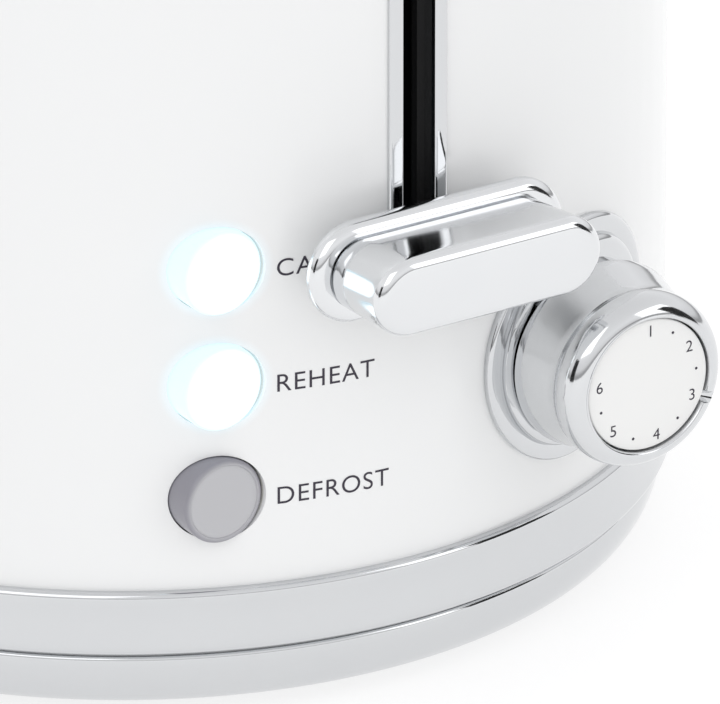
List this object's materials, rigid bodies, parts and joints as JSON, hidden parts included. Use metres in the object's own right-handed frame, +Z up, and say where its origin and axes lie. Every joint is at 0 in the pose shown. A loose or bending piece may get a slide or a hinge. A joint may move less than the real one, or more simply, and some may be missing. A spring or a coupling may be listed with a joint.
{
  "type": "pop up toaster",
  "caption": "Retro pop up toaster for two slices: rounded white steel body on a two-tier chrome base, side lever, lit push buttons and a browning dial.",
  "frame": {"origin": "under the middle of the whole toaster, on the surface that its feet stand on", "axes": "+Z up, +X along the toaster to its control end, +Y to the right seen from the control end"},
  "size_m": [0.344, 0.1984, 0.198],
  "materials": {
    "white_paint": "gloss",
    "chrome": "polished",
    "steel": "satin",
    "black_plastic": "matt",
    "mica": "matt",
    "heating_ribbon": "satin",
    "foot_rubber": "matt",
    "copper_winding": "satin",
    "board": "matt",
    "brass_posts": "satin",
    "lamp": "clear",
    "lit_button": "translucent, lit from behind",
    "grey_button": "translucent",
    "white_dial": "satin",
    "white_nylon": "satin"
  },
  "bodies": {
    "housing": {"shell_top": "white_paint", "shell_side_left": "white_paint", "shell_side_right": "white_paint", "shell_front_left": "white_paint", "shell_front_right": "white_paint", "shell_rear_left": "white_paint", "shell_rear_right": "white_paint", "slot_bezel": "chrome", "base_collar": "chrome", "base_plinth": "chrome", "slot_trim": "chrome", "dial_bezel": "chrome", "bottom_plate": "steel", "base_screws": "steel", "guide_rod": "steel", "rod_bracket": "steel", "control_end_plate": "steel", "rear_end_plate": "steel", "side_panel_left": "steel", "side_panel_right": "steel", "carriage_spring": "steel", "magnet_core": "steel", "slot_liner": "black_plastic", "control_frame": "black_plastic", "cord_gland": "black_plastic", "potentiometer": "black_plastic", "tact_switches": "black_plastic", "heater_card_1": "mica", "heater_card_2": "mica", "heater_card_3": "mica", "heater_card_4": "mica", "heater_ribbon_1": "heating_ribbon", "heater_ribbon_2": "heating_ribbon", "heater_ribbon_3": "heating_ribbon", "heater_ribbon_4": "heating_ribbon", "feet": "foot_rubber", "magnet_coil": "copper_winding", "control_board": "board", "board_standoffs": "brass_posts", "board_leds": "lamp", "dial_face": "white_dial", "terminal_block": "white_nylon"},
    "carriage": {"lever_knob": "chrome", "lever_arm": "steel", "carriage_bracket": "steel", "carriage_bush": "black_plastic", "bread_rack_left": "steel", "bread_rack_right": "steel", "armature": "steel"},
    "tray": {"crumb_tray": "steel", "crumb_tray_pull": "black_plastic"},
    "cancel_button": {"cancel_button": "lit_button"},
    "reheat_button": {"reheat_button": "lit_button"},
    "defrost_button": {"defrost_button": "grey_button"},
    "browning_knob": {"browning_knob": "chrome"},
    "guard_1": {"bread_guard_1": "steel"},
    "guard_2": {"bread_guard_2": "steel"},
    "guard_3": {"bread_guard_3": "steel"},
    "guard_4": {"bread_guard_4": "steel"}
  },
  "joints": [
    {"name": "carriage_lift", "type": "slide", "parent": "housing", "child": "carriage", "axis": [0, 0, 1], "range_m": [0, 0.045], "deforming": ["carriage_spring"]},
    {"name": "guard_1_lean", "type": "hinge", "parent": "housing", "child": "guard_1", "pos_m": [-0.008, -0.0435, 0.046], "axis": [1, 0, 0], "range_deg": [0, 3.2]},
    {"name": "guard_2_lean", "type": "hinge", "parent": "housing", "child": "guard_2", "pos_m": [-0.008, -0.0205, 0.046], "axis": [1, 0, 0], "range_deg": [-3.2, 0]},
    {"name": "guard_3_lean", "type": "hinge", "parent": "housing", "child": "guard_3", "pos_m": [-0.008, 0.0205, 0.046], "axis": [1, 0, 0], "range_deg": [0, 3.2]},
    {"name": "guard_4_lean", "type": "hinge", "parent": "housing", "child": "guard_4", "pos_m": [-0.008, 0.0435, 0.046], "axis": [1, 0, 0], "range_deg": [-3.2, 0]},
    {"name": "cancel_press", "type": "slide", "parent": "housing", "child": "cancel_button", "axis": [-1, 0, 0], "range_m": [0, 0.0015], "stiffness_N_per_m": 500, "springref_m": -0.001},
    {"name": "reheat_press", "type": "slide", "parent": "housing", "child": "reheat_button", "axis": [-1, 0, 0], "range_m": [0, 0.0015], "stiffness_N_per_m": 500, "springref_m": -0.001},
    {"name": "defrost_press", "type": "slide", "parent": "housing", "child": "defrost_button", "axis": [-1, 0, 0], "range_m": [0, 0.0015], "stiffness_N_per_m": 500, "springref_m": -0.001},
    {"name": "browning_turn", "type": "hinge", "parent": "housing", "child": "browning_knob", "pos_m": [0.1482, 0.0371, 0.0579], "axis": [1, 0, 0], "range_deg": [-166, 111]},
    {"name": "crumb_tray_slide", "type": "slide", "parent": "housing", "child": "tray", "axis": [-1, 0, 0], "range_m": [0, 0.2]}
  ],
  "couplings": [
    {"joint": "guard_1_lean", "follows": "carriage_lift", "rad_per_m": 1.16},
    {"joint": "guard_2_lean", "follows": "carriage_lift", "rad_per_m": -1.16},
    {"joint": "guard_3_lean", "follows": "carriage_lift", "rad_per_m": 1.16},
    {"joint": "guard_4_lean", "follows": "carriage_lift", "rad_per_m": -1.16}
  ]
}
